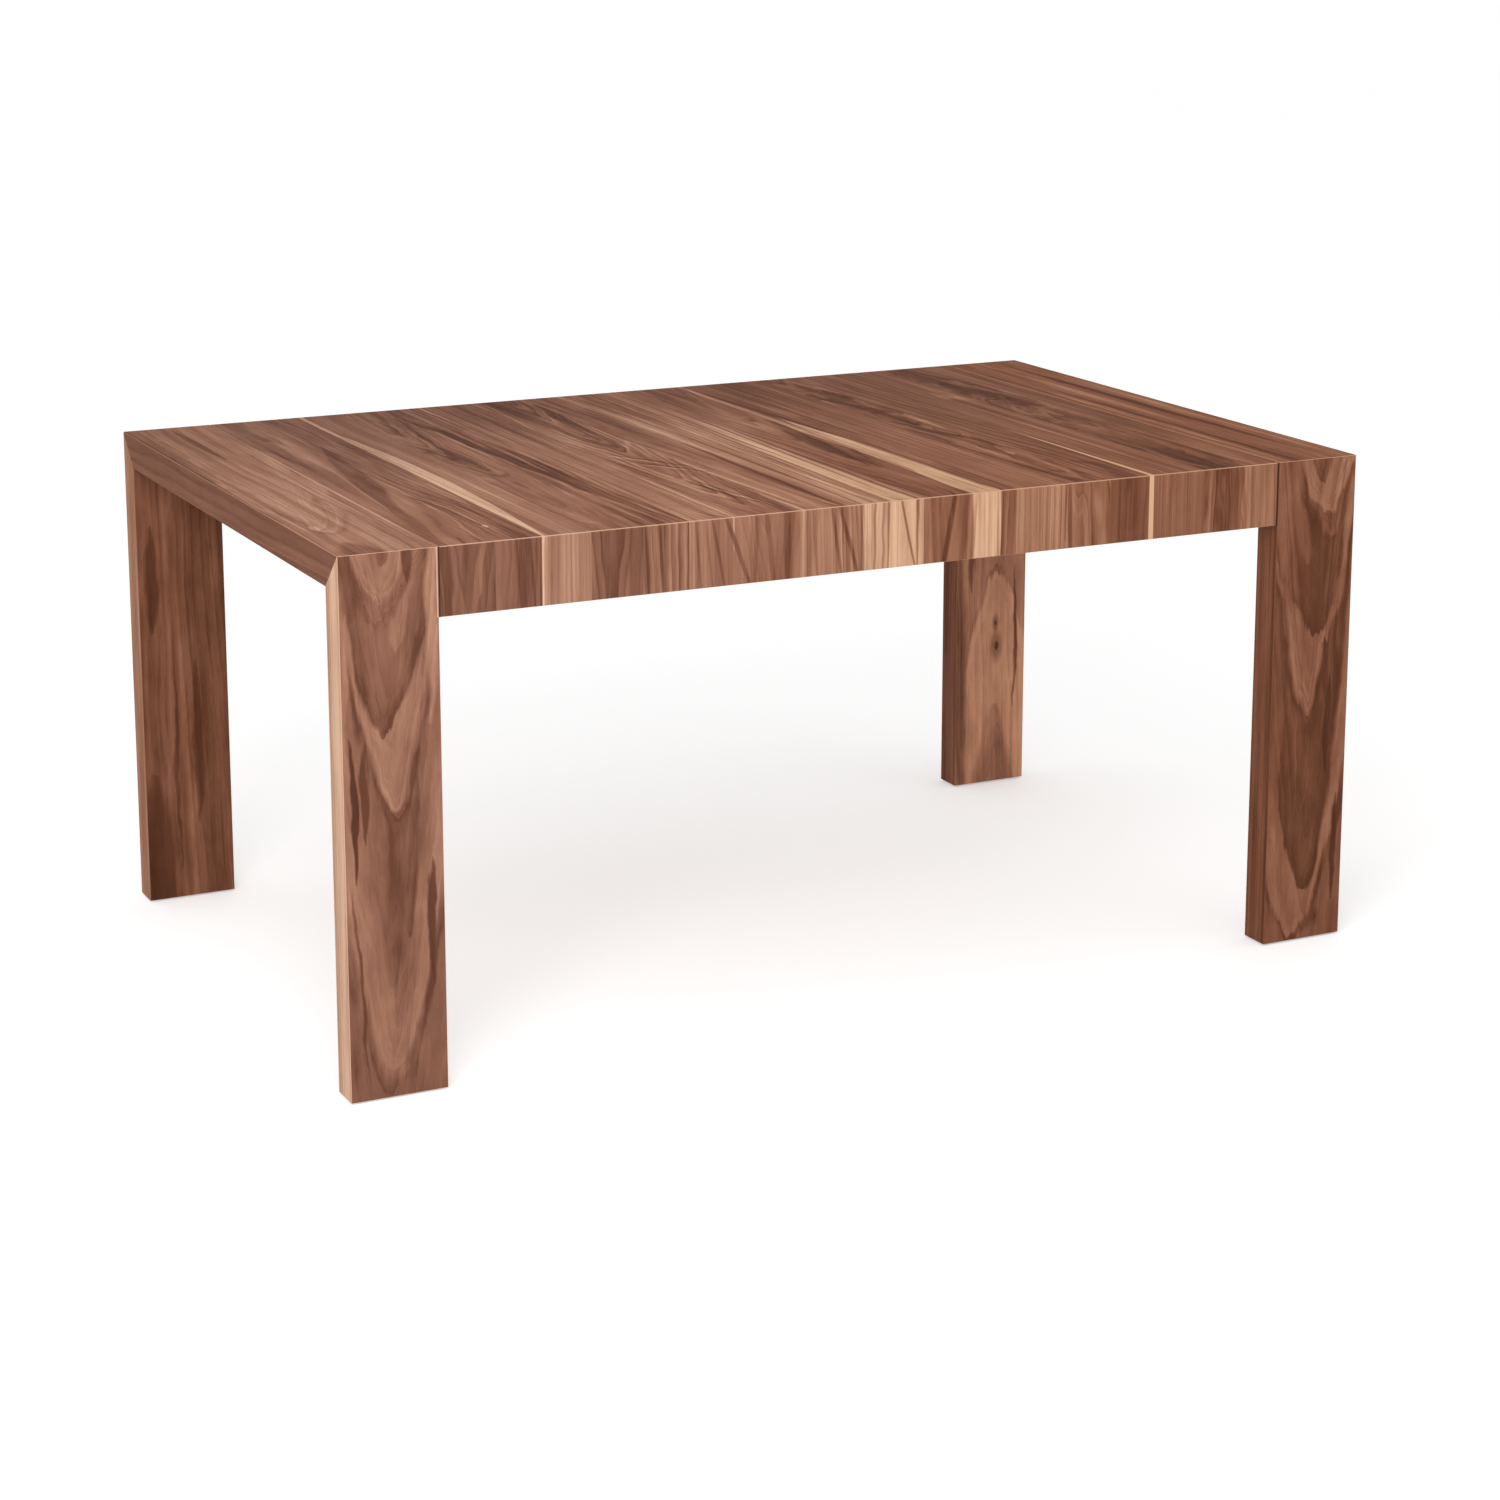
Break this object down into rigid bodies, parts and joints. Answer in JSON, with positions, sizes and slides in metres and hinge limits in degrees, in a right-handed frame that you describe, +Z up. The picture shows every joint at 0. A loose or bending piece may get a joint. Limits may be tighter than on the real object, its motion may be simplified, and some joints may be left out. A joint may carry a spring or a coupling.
{
  "type": "extending dining table",
  "caption": "Rectangular veneered dining table whose mitred end frames slide outwards on beams to take extension leaves stored under the top.",
  "frame": {"origin": "on the floor under the middle of the closed table", "axes": "+X along the table's length, +Y across it to the rear side, +Z up"},
  "size_m": [1.6, 1, 0.75],
  "materials": {
    "walnut_veneer": "open-grain walnut veneer, matt lacquer",
    "beech": "planed, oiled",
    "aluminium": "satin anodised",
    "nylon": "moulded, matt",
    "steel": "zinc plated",
    "felt": "pressed wool felt"
  },
  "bodies": {
    "centre": {"centre_top": "walnut_veneer", "front_apron": "walnut_veneer", "rear_apron": "walnut_veneer", "cross_rail_left": "beech", "leaf_bearer_left": "beech", "cross_rail_middle": "beech", "leaf_bearer_middle": "beech", "cross_rail_right": "beech", "leaf_bearer_right": "beech", "packer_front": "beech", "guide_channel_front": "aluminium", "guide_liner_front_left": "nylon", "guide_liner_front_right": "nylon", "packer_rear": "beech", "guide_channel_rear": "aluminium", "guide_liner_rear_left": "nylon", "guide_liner_rear_right": "nylon", "leaf_divider": "beech", "bearer_felts": "felt", "cross_rail_screws": "steel", "channel_screws": "steel", "bearer_screws": "steel", "latch_screws": "steel", "latch_plate_left": "steel", "latch_rivet_left": "steel", "latch_plate_right": "steel", "latch_rivet_right": "steel"},
    "left_end": {"leg_front_left": "walnut_veneer", "leg_rear_left": "walnut_veneer", "end_rail_left": "walnut_veneer", "mitre_splines_left": "beech", "slide_beam_front_left": "aluminium", "beam_slider_front_left": "nylon", "slide_beam_rear_left": "aluminium", "beam_slider_rear_left": "nylon", "beam_bolts_left": "steel", "end_dowels_left": "beech", "foot_glides_left": "nylon", "latch_keeper_left": "steel", "keeper_screws_left": "steel"},
    "right_end": {"leg_front_right": "walnut_veneer", "leg_rear_right": "walnut_veneer", "end_rail_right": "walnut_veneer", "mitre_splines_right": "beech", "slide_beam_front_right": "aluminium", "beam_slider_front_right": "nylon", "slide_beam_rear_right": "aluminium", "beam_slider_rear_right": "nylon", "beam_bolts_right": "steel", "end_dowels_right": "beech", "foot_glides_right": "nylon", "latch_keeper_right": "steel", "keeper_screws_right": "steel"},
    "front_leaf": {"leaf_front": "walnut_veneer", "leaf_dowels_front": "beech"},
    "rear_leaf": {"leaf_rear": "walnut_veneer", "leaf_dowels_rear": "beech"},
    "left_latch": {"latch_lever_left": "steel"},
    "right_latch": {"latch_lever_right": "steel"}
  },
  "joints": [
    {"name": "left_end_slide", "type": "slide", "parent": "centre", "child": "left_end", "axis": [-1, 0, 0], "range_m": [0, 0.415]},
    {"name": "right_end_slide", "type": "slide", "parent": "centre", "child": "right_end", "axis": [1, 0, 0], "range_m": [0, 0.415]},
    {"name": "front_leaf_slide", "type": "slide", "parent": "centre", "child": "front_leaf", "axis": [-1, 0, 0], "range_m": [0, 0.55]},
    {"name": "rear_leaf_slide", "type": "slide", "parent": "centre", "child": "rear_leaf", "axis": [1, 0, 0], "range_m": [0, 0.55]},
    {"name": "left_latch_turn", "type": "hinge", "parent": "centre", "child": "left_latch", "pos_m": [-0.6296, 0.434, 0.664], "axis": [0, 0, -1], "range_deg": [0, 90]},
    {"name": "right_latch_turn", "type": "hinge", "parent": "centre", "child": "right_latch", "pos_m": [0.6296, 0.434, 0.664], "axis": [0, 0, 1], "range_deg": [0, 90]}
  ]
}
